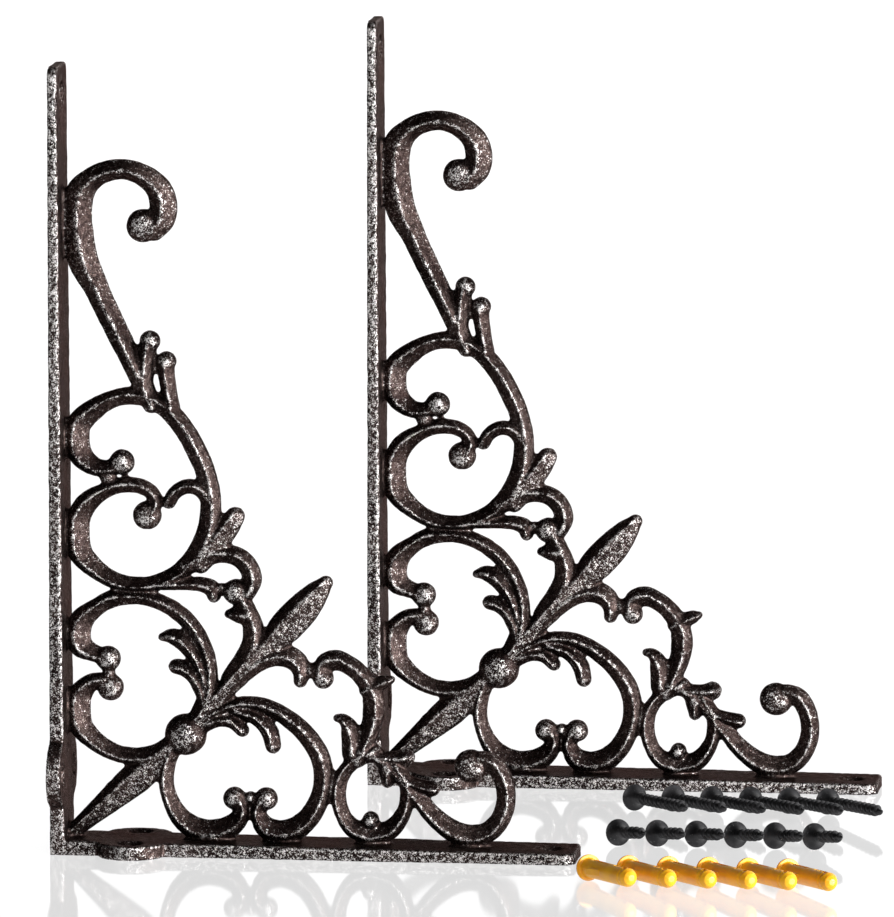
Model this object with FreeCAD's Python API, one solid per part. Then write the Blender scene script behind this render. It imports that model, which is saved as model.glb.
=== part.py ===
"""Two cast-iron scroll shelf brackets with their screws and wall plugs, laid out as a set.

Each bracket stands on its shelf leg, with its wall leg upright. X runs along the shelf legs, Y from the
front bracket to the rear one, and Z up. The origin is at the bottom centre of the whole set.
"""

import FreeCAD, Part
import math
import os

from FreeCAD import Placement, Rotation, Vector

# Bracket: one L of two legs, with a web of scrolls between them. X is measured from the wall face
# and Z from the shelf face.
WALL_LEG = 240.0
SHELF_LEG = 160.0
LEG_WIDTH = 21.6
CORNER_THICKNESS = 4.4
WALL_TIP_THICKNESS = 2.9
SHELF_TIP_THICKNESS = 3.4
CORNER_FILLET = 3.0
TIP_CORNER_R = 3.0
WEB_THICKNESS = 8.0
KNOT_THICKNESS = 12.0

# Screw holes: two ears near the corner of each leg and one hole near its tip.
EAR_R = 10.3
EAR_FROM_CORNER = 24.7
EAR_FROM_MIDDLE = 8.3
EAR_HOLE_FROM_MIDDLE = 11.3
TIP_HOLE_FROM_END = 9.0
HOLE_D = 5.0
SINK_D = 8.4

# Screws and plugs.
WALL_SCREW_LENGTH = 38.0
SHELF_SCREW_LENGTH = 20.0
HEAD_R = 4.1
THREAD_R = 1.9
CORE_R = 1.25
THREAD_PITCH = 3.0
THREAD_CREST = 0.25
HEAD_RIM = 0.5
FLARE = 4.2
POINT = 4.5
PLUG_LENGTH = 30.0
PLUG_R = 2.8
PLUG_FLANGE_R = 4.0
PLUG_FLANGE_T = 0.8
PLUG_DOME = 2.2
PLUG_BORE_R = 1.4
PLUG_WING_SPAN = 8.8

# Places: the rear bracket is the front one moved, and the fasteners lie in three rows of six.
REAR_OFFSET = Vector(79.0, 140.0, 0.0)
ROW_COUNT = 6
ROW_PITCH = 12.0
ROW_TURN = 58.0
WALL_SCREW_START = Vector(167.0, 92.0, 0.0)
SHELF_SCREW_START = Vector(169.0, 27.0, 0.0)
PLUG_START = Vector(167.0, -36.0, 0.0)

# Strands of the web. Each is a smooth band through points (X, Z, width), which ends round.
STRANDS = {
    "brace": [(3, 3.5, 4), (12, 11.3, 6.5), (20, 18.3, 9), (25.5, 23, 10), (30.5, 27.6, 8.8), (37, 33.4, 6.6)],
    "corner_scroll": [
        (37, 35, 5), (33.6, 31.9, 5), (28.6, 29.8, 5.1), (23, 29.3, 5.3), (17.4, 30.7, 5.5), (12.4, 33.8, 6),
        (8.4, 38, 7.2), (7.3, 43, 7.8), (8, 48, 7.5), (11.6, 51.6, 5.6), (15.4, 52.2, 4.8),
    ],
    "wall_scroll": [
        (15, 59.8, 4.8), (11.8, 60.8, 5.4), (8.4, 62.8, 7.4), (7.3, 66.6, 8), (8.6, 70.7, 7.4), (12.9, 74.6, 5.6),
        (17.4, 77.2, 5.5), (23.4, 78, 4.8), (29.5, 77.4, 4.8), (35.5, 75, 5), (40.5, 71.2, 5.1), (44, 66.4, 5.2),
        (46.3, 61, 5.3), (47.3, 55, 5.4), (46.9, 49, 5.6), (43.5, 41, 5.6),
    ],
    "wall_scroll_long_leaf": [
        (46.5, 51.5, 4), (45.2, 56, 5), (42.8, 61, 5.6), (39, 65, 6), (35.4, 66.2, 4.6), (33.2, 65.9, 2.8),
    ],
    "wall_scroll_short_leaf": [
        (46.3, 45, 4), (44.8, 50.5, 4.8), (42.2, 54.8, 5), (39.3, 56.6, 5), (37.3, 57, 4.8),
    ],
    "shelf_scroll": [
        (38.5, 35, 4), (35.2, 28, 4.5), (34.2, 21.8, 4.7), (35.6, 15.8, 5), (39.2, 10.1, 6.5), (44.3, 7.1, 7.2),
        (50, 6.9, 7.3), (54.8, 9, 6.8), (57.4, 13.2, 5), (56, 16.6, 4.6),
    ],
    "shelf_ring": [
        (42, 36.5, 4.2), (46.3, 40.7, 4.3), (50.8, 43.5, 4.5), (56, 45.4, 4.8), (61.8, 45.6, 5), (67.6, 43.8, 5.2),
        (73.5, 40, 5.5), (78.6, 34.6, 5.9), (81.5, 29, 6.2), (82.3, 23.4, 6.2), (81.2, 17.6, 6.2),
        (78, 11.6, 6.8), (73.8, 8, 7.4), (69, 6.9, 7.2), (64.8, 8.2, 6.8), (62.5, 12.4, 4.9), (63.8, 16.4, 4.6),
    ],
    "shelf_ring_short_leaf": [
        (43, 36.6, 4), (46.6, 39.4, 4.4), (50.5, 41, 4.8), (54.8, 40.4, 4.8), (57.5, 37.8, 4.4),
    ],
    "shelf_ring_long_leaf": [(56, 43.9, 4.6), (62, 41.8, 5.2), (65.8, 37.6, 5.4), (66.9, 33.2, 5)],
    "spear_stem": [(41, 37, 5.4), (45, 41.8, 5.8), (50, 47.5, 6), (55, 53, 6.4), (59.5, 58.2, 7), (64, 63, 7.4)],
    "spear": [
        (60, 57.8, 5), (66, 64.5, 7.6), (70, 68.8, 10), (73, 72, 10.6), (77, 76.4, 9.8), (80.8, 80.8, 7.2),
        (83, 83.4, 4.6),
    ],
    "spear_left_leaf": [
        (53.8, 53.6, 5.8), (58.6, 60.3, 6.3), (60.7, 65, 6.4), (60.7, 70, 6.3), (59.1, 74.4, 5.4),
        (57, 78.4, 5.2),
    ],
    "spear_left_thorn": [(59.5, 73, 6), (56, 73.4, 5.6), (53.6, 73.4, 3)],
    "spear_right_leaf": [
        (55, 52, 5), (61, 57.4, 5.4), (65.8, 60.2, 6.2), (70.4, 60.8, 7), (74, 59.2, 6.8), (75.6, 56.2, 6),
        (75.3, 53.4, 4.6),
    ],
    "side_curl": [
        (59.2, 80.4, 5.6), (60.5, 84, 6.2), (59.4, 87.8, 6.2), (56, 90.9, 6), (51.2, 91.6, 5.6),
        (46.5, 90.4, 5.4), (40.5, 87.6, 5.6),
    ],
    "side_curl_leaf": [(32, 82, 3.6), (40, 82.4, 4), (45.4, 82.2, 4.6), (48.6, 80.8, 5.2), (49, 78.9, 4.4)],
    "heart_and_loop": [
        (30.2, 104.6, 4.4), (31.2, 107.2, 4.6), (29.8, 110, 4.7), (26, 112, 4.8), (20.5, 112, 4.9),
        (15, 110, 5.2), (10, 106.2, 6.9), (7.5, 101.4, 7.6), (7.2, 96, 7.9), (8.5, 90.8, 7.4), (12.9, 86.4, 6),
        (18.5, 83.1, 5.2), (24.5, 82, 4.8), (30.5, 82.5, 4.8), (36.5, 84.8, 5.4), (41.2, 88.6, 6.2),
        (44.9, 93.5, 6.8), (47.3, 99.5, 6.8), (48, 105.5, 6.6), (47.6, 111, 6.5), (46.3, 116.8, 6.4),
        (44, 122.2, 6.3), (41, 127.8, 6.2), (37.2, 133, 6), (32.8, 137, 5.8), (27.5, 139.2, 5.6),
        (22, 139.4, 5.5), (16.8, 137.8, 5.7), (11.2, 134.2, 7.1), (7.7, 130.4, 7.8), (7.1, 125.8, 7.9),
        (8.5, 121.1, 7.3), (13.2, 117.6, 5.4), (18, 117.6, 4.6),
    ],
    "heart_leaf": [(47.6, 107.6, 4.6), (44.6, 111.4, 4.8), (40.6, 112, 4.6), (37.2, 110.2, 4.4), (35.3, 107.2, 4.4)],
    "heart_thorn": [(45, 88.5, 6), (49.8, 95, 7.4), (53.2, 99.8, 7.2), (55.4, 103.2, 6.2)],
    "stem_and_hook": [
        (30, 137, 5.4), (28, 142, 6.4), (24.8, 148.8, 6.8), (20.7, 157, 7), (16.9, 164.8, 7.2),
        (13.3, 172.5, 7.7), (9.6, 180, 9.3), (7.9, 188, 9.6), (7.5, 195.5, 9.4), (8.7, 201.5, 9),
        (12.3, 205.5, 7.3), (17.2, 207.9, 6.4), (22.6, 208.3, 6.2), (28, 206.4, 6.8), (31.9, 203.2, 7.8),
        (33.7, 198.6, 8.6), (33.3, 193.8, 8.4), (30.8, 190.4, 7.4),
    ],
    "left_sprout": [(28, 140.5, 5), (28.2, 146, 5.4), (28.4, 150.5, 5.6), (28.9, 154.5, 5.8)],
    "right_sprout": [(36.4, 136, 4.8), (35.4, 141, 5), (34.6, 146, 5.4), (34.3, 149.5, 5.6)],
    "tip_side_curl": [
        (81.8, 55.6, 5.6), (82.8, 58.4, 6.4), (86, 59.7, 6.5), (90.2, 58.2, 5.9), (94.4, 54.6, 6),
        (96.9, 50.6, 6.6), (97.7, 46.4, 6.9), (97.3, 41.6, 6.6), (95.7, 36.6, 6), (92.6, 29.6, 5.6),
    ],
    "tip_side_leaf": [(91.4, 31, 7), (90.8, 36.6, 6.4), (89.8, 40, 5.2), (88, 41.9, 3.4), (86.6, 42.1, 2.6)],
    "tip_side_thorn": [(95.5, 51, 5), (99, 52.6, 5), (101.8, 53.8, 4), (103, 54.2, 2.6)],
    "small_ring_left": [
        (98, 31.8, 5), (91.4, 28.6, 4.8), (87.9, 24, 4.8), (86.9, 18.8, 4.8), (88, 13.2, 4.8), (91, 8.8, 5.8),
        (95.6, 6.9, 7),
    ],
    "small_ring_right": [
        (104.6, 27.2, 4.2), (107.3, 23, 4.6), (107.9, 18.6, 4.7), (106.6, 13.2, 4.8), (102.6, 8.2, 6.2),
        (96.5, 6.4, 6.4),
    ],
    "small_ring_leaf": [(98.4, 31, 4), (101, 28.2, 5), (101.9, 25, 5.2), (101.9, 23, 4.2)],
    "tip_scroll": [
        (94, 32.6, 5), (101, 29.4, 5), (106.3, 24.4, 5), (111, 18.6, 5.2), (116.1, 12.6, 6),
        (121.4, 8.5, 6.8), (127.3, 6.7, 7.3), (132.7, 8.2, 6.4), (136.5, 12.6, 6), (138, 18, 5.9),
        (137.3, 23.6, 5.8), (134.2, 28.8, 6), (130.5, 30.2, 5.4),
    ],
    "tip_scroll_thorn": [(107.4, 23.4, 3), (112, 21.8, 4.4), (115.6, 21, 4.8)],
    "tip_scroll_leaf": [(97, 30.6, 4.4), (102.5, 30.3, 4), (105.4, 30.2, 5), (107.3, 30.4, 6.2)],
}

# Round ends of the scrolls: X, Z, radius.
BALLS = {
    "corner_scroll": (17.2, 50.2, 4.1),
    "wall_scroll": (16.5, 59.0, 3.9),
    "shelf_scroll": (55.1, 16.9, 3.6),
    "shelf_ring": (64.8, 16.9, 3.6),
    "spear_left_leaf": (55.6, 80.2, 4.0),
    "heart": (28.6, 103.2, 4.5),
    "heart_to_loop": (16.6, 114.7, 2.6),
    "loop": (20.9, 119.2, 3.9),
    "hook": (27.6, 191.4, 5.2),
    "left_sprout": (29.6, 156.4, 3.2),
    "right_sprout": (34.6, 150.2, 3.1),
    "tip_side_curl": (82.3, 54.2, 3.3),
    "small_ring": (96.7, 11.0, 2.7),
    "tip_scroll": (127.3, 28.1, 5.2),
}
KNOT = (40.2, 36.2, 6.4)
TOUCHES = [(60.0, 17.2, 2.0), (16.8, 54.7, 1.9), (51.4, 81.4, 1.5), (78.9, 56.6, 2.4)]


def at(x, z, y=0.0):
    """A point of the bracket's side view."""
    return Vector(x, y, z)


def band(points):
    """The flat face of a strand: its two edges run half a width each side of its centre line."""
    line = Part.BSplineCurve()
    line.interpolate([Vector(*point) for point in points])
    steps = 2 * (len(points) - 1)
    left, right, ends = [], [], []
    for step in range(steps + 1):
        u = line.FirstParameter + (line.LastParameter - line.FirstParameter) * step / steps
        x, z, width = line.value(u)
        along = line.tangent(u)[0]
        run = math.hypot(along.x, along.y)
        dx, dz = along.x / run, along.y / run
        half = width / 2
        left.append(at(x - dz * half, z + dx * half))
        right.append(at(x + dz * half, z - dx * half))
        if step in (0, steps):
            sign = -1 if step == 0 else 1
            ends.append(at(x + sign * dx * half, z + sign * dz * half))
    side_a = Part.BSplineCurve()
    side_a.interpolate(left)
    side_b = Part.BSplineCurve()
    side_b.interpolate(right[::-1])
    edges = [
        side_a.toShape(),
        Part.Arc(left[-1], ends[1], right[-1]).toShape(),
        side_b.toShape(),
        Part.Arc(right[0], ends[0], left[0]).toShape(),
    ]
    return Part.Face(Part.Wire(edges))


def disc(x, z, radius):
    return Part.Face(Part.Wire(Part.makeCircle(radius, at(x, z), Vector(0, 1, 0))))


def leg_profile():
    """The L of the two legs, seen from the side: both thin out from the corner to their tips."""
    inner = CORNER_THICKNESS
    corners = [
        at(0, 0), at(0, WALL_LEG), at(WALL_TIP_THICKNESS, WALL_LEG), at(inner, inner + CORNER_FILLET),
        at(inner + CORNER_FILLET, inner), at(SHELF_LEG, SHELF_TIP_THICKNESS), at(SHELF_LEG, 0), at(0, 0),
    ]
    return Part.Face(Part.makePolygon(corners))


def thick(face, thickness):
    """A face of the side view made solid, half its thickness each side of the middle."""
    solid = face.copy()
    solid.translate(Vector(0, -thickness / 2, 0))
    return solid.extrude(Vector(0, thickness, 0))


def leg_plan(length):
    """A leg seen from above, lying along X, with rounded tip corners and its two ears."""
    half = LEG_WIDTH / 2
    r = TIP_CORNER_R
    diagonal = r * (1 - math.sqrt(0.5))
    edges = [
        Part.LineSegment(Vector(0, -half, 0), Vector(length - r, -half, 0)).toShape(),
        Part.Arc(
            Vector(length - r, -half, 0),
            Vector(length - diagonal, -half + diagonal, 0),
            Vector(length, -half + r, 0),
        ).toShape(),
        Part.LineSegment(Vector(length, -half + r, 0), Vector(length, half - r, 0)).toShape(),
        Part.Arc(
            Vector(length, half - r, 0),
            Vector(length - diagonal, half - diagonal, 0),
            Vector(length - r, half, 0),
        ).toShape(),
        Part.LineSegment(Vector(length - r, half, 0), Vector(0, half, 0)).toShape(),
        Part.LineSegment(Vector(0, half, 0), Vector(0, -half, 0)).toShape(),
    ]
    plan = Part.Face(Part.Wire(edges))
    ears = [
        Part.Face(Part.Wire(Part.makeCircle(EAR_R, Vector(EAR_FROM_CORNER, side * EAR_FROM_MIDDLE, 0))))
        for side in (-1, 1)
    ]
    return plan.multiFuse(ears).removeSplitter()


def leg_thickness(from_corner, length, tip_thickness):
    """The leg's thickness at a distance from the corner."""
    start = CORNER_THICKNESS + CORNER_FILLET
    share = (from_corner - start) / (length - start)
    return CORNER_THICKNESS + (tip_thickness - CORNER_THICKNESS) * share


def screw_hole(from_corner, side, thickness):
    """The cutter for one countersunk hole in a leg that lies along X, sunk from its inner face, above."""
    depth = (SINK_D - HOLE_D) / 2
    place = Vector(from_corner, side, 0)
    hole = Part.makeCylinder(HOLE_D / 2, 20, place - Vector(0, 0, 10))
    sink = Part.makeCone(HOLE_D / 2, SINK_D / 2 + 6, depth + 6, place + Vector(0, 0, thickness - depth))
    return hole.fuse(sink)


def leg(length, tip_thickness):
    """One leg lying along X with its outer face at Z = 0, and its three screw holes."""
    tall = CORNER_THICKNESS + CORNER_FILLET + 1
    blank = leg_plan(length).extrude(Vector(0, 0, tall))
    holes = []
    for from_corner, side in (
        (EAR_FROM_CORNER, -EAR_HOLE_FROM_MIDDLE),
        (EAR_FROM_CORNER, EAR_HOLE_FROM_MIDDLE),
        (length - TIP_HOLE_FROM_END, 0),
    ):
        holes.append(screw_hole(from_corner, side, leg_thickness(from_corner, length, tip_thickness)))
    return blank, holes


def bracket():
    """One casting: the legs, the ears and the web of scrolls are a single solid."""
    profile = leg_profile()
    faces = [band(points) for points in STRANDS.values()]
    faces += [disc(*ball) for ball in BALLS.values()]
    faces += [disc(*KNOT)] + [disc(*touch) for touch in TOUCHES]
    web = profile.multiFuse(faces).removeSplitter()
    print("web faces", len(web.Faces), "voids", len(web.Faces[0].Wires) - 1)
    web = thick(web.Faces[0], WEB_THICKNESS)
    knot = thick(disc(*KNOT), KNOT_THICKNESS)

    envelope = thick(profile, 4 * LEG_WIDTH)
    shelf_blank, shelf_holes = leg(SHELF_LEG, SHELF_TIP_THICKNESS)
    wall_blank, wall_holes = leg(WALL_LEG, WALL_TIP_THICKNESS)
    # The wall leg is the same plan stood upright: its X becomes Z and its Z becomes X.
    upright = Placement(Vector(0, 0, 0), Rotation(Vector(1, 0, 1), 180))
    for shape in [wall_blank] + wall_holes:
        shape.Placement = upright.multiply(shape.Placement)
    legs = envelope.common(shelf_blank.fuse(wall_blank))
    casting = legs.multiFuse([web, knot]).removeSplitter()
    return casting.cut(Part.makeCompound(shelf_holes + wall_holes))


def turned(outline):
    """A solid of revolution about Z, from an outline of (radius, height) points."""
    points = [Vector(radius, 0, height) for radius, height in outline]
    face = Part.Face(Part.makePolygon(points + points[:1]))
    return face.revolve(Vector(0, 0, 0), Vector(0, 0, 1), 360)


def screw(length):
    """A drywall screw that points down -Z, with the flat of its head at Z = 0."""
    profile = [
        (0, 0), (HEAD_R, 0), (HEAD_R, -HEAD_RIM), (2.9, -1.6), (2.0, -2.7), (1.6, -FLARE),
        (CORE_R, -FLARE - 0.6), (CORE_R, -length + POINT), (0, -length),
    ]
    body = turned(profile)
    flank = 0.75
    ridges = []
    count = int((length - FLARE - POINT) / THREAD_PITCH)
    for turn in range(count + 1):
        middle = -length + POINT + THREAD_CREST / 2 + turn * THREAD_PITCH
        ridges.append(
            turned([
                (0.5, middle - flank), (CORE_R - 0.1, middle - flank), (THREAD_R, middle - THREAD_CREST / 2),
                (THREAD_R, middle + THREAD_CREST / 2), (CORE_R - 0.1, middle + flank), (0.5, middle + flank),
            ])
        )
    body = body.multiFuse(ridges).removeSplitter()
    recess_span = 4.6
    recess_width = 1.1
    recess_depth = 2.4
    bars = [
        Part.makeBox(a, b, recess_depth + 1, Vector(-a / 2, -b / 2, -recess_depth))
        for a, b in ((recess_span, recess_width), (recess_width, recess_span))
    ]
    taper = Part.makeCone(0.6, recess_span / 2 + 0.6, recess_depth + 1, Vector(0, 0, -recess_depth))
    return body.cut(bars[0].fuse(bars[1]).common(taper))


def wall_plug():
    """A nylon plug that points down -Z, with its mouth at Z = 0, split by slots and with two barbs."""
    body = turned([
        (PLUG_BORE_R, 0), (PLUG_FLANGE_R, 0), (PLUG_FLANGE_R, -PLUG_FLANGE_T), (PLUG_R, -PLUG_FLANGE_T),
        (PLUG_R, -PLUG_LENGTH + PLUG_DOME), (PLUG_R - 0.7, -PLUG_LENGTH + 0.7), (PLUG_R - 1.7, -PLUG_LENGTH),
        (0, -PLUG_LENGTH), (0, -PLUG_LENGTH + 3), (PLUG_BORE_R, -PLUG_LENGTH + 5),
    ])
    slot_width = 1.1
    lower_slot = Part.makeBox(2 * PLUG_R + 1, slot_width, 10, Vector(-PLUG_R - 0.5, -slot_width / 2, -14))
    upper_slot = Part.makeBox(2 * PLUG_R + 1, slot_width, 8, Vector(-PLUG_R - 0.5, -slot_width / 2, -27))
    barb_outline = [(PLUG_R - 0.4, -13), (PLUG_R + 0.2, -13), (PLUG_WING_SPAN / 2, -7.4), (PLUG_R - 0.4, -8.6)]
    barb_width = 2.0
    barbs = []
    for side in (-1, 1):
        points = [Vector(-barb_width / 2, side * out, height) for out, height in barb_outline]
        barb = Part.Face(Part.makePolygon(points + points[:1])).extrude(Vector(barb_width, 0, 0))
        barbs.append(barb)
    return body.cut(lower_slot.fuse(upper_slot)).multiFuse(barbs).removeSplitter()


def laid(shape, start, index, rests):
    """A fastener that points down -Z, laid on the ground beside its row's neighbours.

    rests are the two rounds that it lies on, the larger near its mouth: (radius, distance from Z = 0).
    """
    (mouth_r, mouth_at), (tip_r, tip_at) = rests
    lean = math.atan((mouth_r - tip_r) / (tip_at - mouth_at))
    rise = mouth_r * math.cos(lean) + mouth_at * math.sin(lean)
    flat = Rotation(Vector(0, 1, 0), -90 - math.degrees(lean))
    turn = Rotation(Vector(0, 0, 1), -ROW_TURN)
    copy = shape.copy()
    copy.Placement = Placement(start + Vector(ROW_PITCH * index, 0, rise), turn * flat)
    return copy


def build():
    nodes = {}
    casting = bracket()
    nodes["bracket_front"] = casting
    rear = casting.copy()
    rear.translate(REAR_OFFSET)
    nodes["bracket_rear"] = rear
    head = (HEAD_R, HEAD_RIM)
    rows = (
        ("wall_screw", screw(WALL_SCREW_LENGTH), WALL_SCREW_START, head, (THREAD_R, WALL_SCREW_LENGTH - POINT)),
        ("shelf_screw", screw(SHELF_SCREW_LENGTH), SHELF_SCREW_START, head, (THREAD_R, SHELF_SCREW_LENGTH - POINT)),
        ("wall_plug", wall_plug(), PLUG_START, (PLUG_FLANGE_R, PLUG_FLANGE_T), (PLUG_R, PLUG_LENGTH - PLUG_DOME)),
    )
    for name, shape, start, *rests in rows:
        for index in range(ROW_COUNT):
            nodes[f"{name}_{index + 1}"] = laid(shape, start, index, rests)
    return nodes


nodes = build()
whole = Part.makeCompound(list(nodes.values())).optimalBoundingBox(False)
to_origin = Vector(-whole.Center.x, -whole.Center.y, 0)
os.makedirs("parts", exist_ok=True)
for name, shape in nodes.items():
    shape.translate(to_origin)
    print(name, shape.ShapeType, len(shape.Solids), shape.isValid(), round(shape.Volume / 1000, 3))
    shape.exportStep(f"parts/{name}.step")
print("box", whole, "shift", to_origin)
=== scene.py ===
"""The looks of a set of two cast-iron scroll shelf brackets with their screws and wall plugs."""
import math

import bpy
import numpy as np
from mathutils import Matrix, Vector


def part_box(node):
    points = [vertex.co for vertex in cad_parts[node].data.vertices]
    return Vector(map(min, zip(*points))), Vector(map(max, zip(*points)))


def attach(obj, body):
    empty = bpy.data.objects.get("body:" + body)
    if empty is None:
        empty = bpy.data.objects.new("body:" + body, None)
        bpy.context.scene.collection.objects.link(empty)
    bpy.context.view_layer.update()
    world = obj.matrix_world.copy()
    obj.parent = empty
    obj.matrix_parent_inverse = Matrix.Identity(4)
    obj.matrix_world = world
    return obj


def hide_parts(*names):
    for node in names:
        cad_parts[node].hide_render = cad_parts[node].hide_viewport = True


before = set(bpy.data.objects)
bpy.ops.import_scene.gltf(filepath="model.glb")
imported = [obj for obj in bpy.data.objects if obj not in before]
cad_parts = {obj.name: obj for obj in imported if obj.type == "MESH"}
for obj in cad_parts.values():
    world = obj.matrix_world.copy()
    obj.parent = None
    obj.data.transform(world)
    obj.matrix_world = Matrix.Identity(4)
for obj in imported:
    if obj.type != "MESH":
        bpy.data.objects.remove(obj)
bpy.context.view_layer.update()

MM = 0.001
RANDOM = np.random.default_rng(7)

# ---------------------------------------------------------------------------
# Driving dimensions, in millimetres. X runs from the wall face, Z from the shelf face.
# ---------------------------------------------------------------------------

WALL_LEG = 240.0
SHELF_LEG = 160.0
LEG_WIDTH = 21.6
CORNER_THICKNESS = 4.4
WALL_TIP_THICKNESS = 2.9
SHELF_TIP_THICKNESS = 3.4
CORNER_FILLET = 3.0
TIP_CORNER_R = 3.0
EAR_R = 10.3
EAR_FROM_CORNER = 24.7
EAR_FROM_MIDDLE = 8.3
EAR_HOLE_FROM_MIDDLE = 11.3
TIP_HOLE_FROM_END = 9.0
HOLE_D = 5.0
SINK_D = 8.4
CLEAR = 3

# The web's section, from its middle plane: the crest of a strand and the edges on its two sides.
CREST = 4.0
OUTER_EDGE = 1.7
INNER_EDGE = 0.9
CREST_TO_OUTER = 0.12
STEM_CREST_TO_OUTER = -0.03
FLAT_LEAF_CREST = 0.15
FLAT_LEAF_EDGES = (0.8, 2.5)
LEAF_EDGE = 1.2
ROUND_END = (0.9, 0.6, 0.3)
FULL_HEIGHT_WIDTH = 3.5
LOWEST_END = 0.3
FLAT_LEAVES = ("brace", "spear", "spear_stem", "heart_thorn")

HEAD_R = 4.1
THREAD_R = 1.9
CORE_R = 1.25
SHANK_R = 1.6
THREAD_PITCH = 3.0
HEAD_RIM = 0.5
FLARE = 4.2
POINT = 4.5
THREAD_CREST = 0.25
ROW_TURN = 58.0
ROW_COUNT = 6
ROW_PITCH = 12.0
WALL_SCREW_START = (167.0, 92.0)
SHELF_SCREW_START = (169.0, 27.0)
PLUG_START = (167.0, -36.0)
WALL_SCREW_LENGTH = 38.0
SHELF_SCREW_LENGTH = 20.0
PLUG_LENGTH = 30.0
PLUG_R = 2.8
PLUG_NECK_R = 2.55
PLUG_FLANGE_R = 4.0
PLUG_FLANGE_T = 0.8
PLUG_DOME = 2.2
PLUG_BORE_R = 1.4
PLUG_WING_SPAN = 8.8

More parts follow.
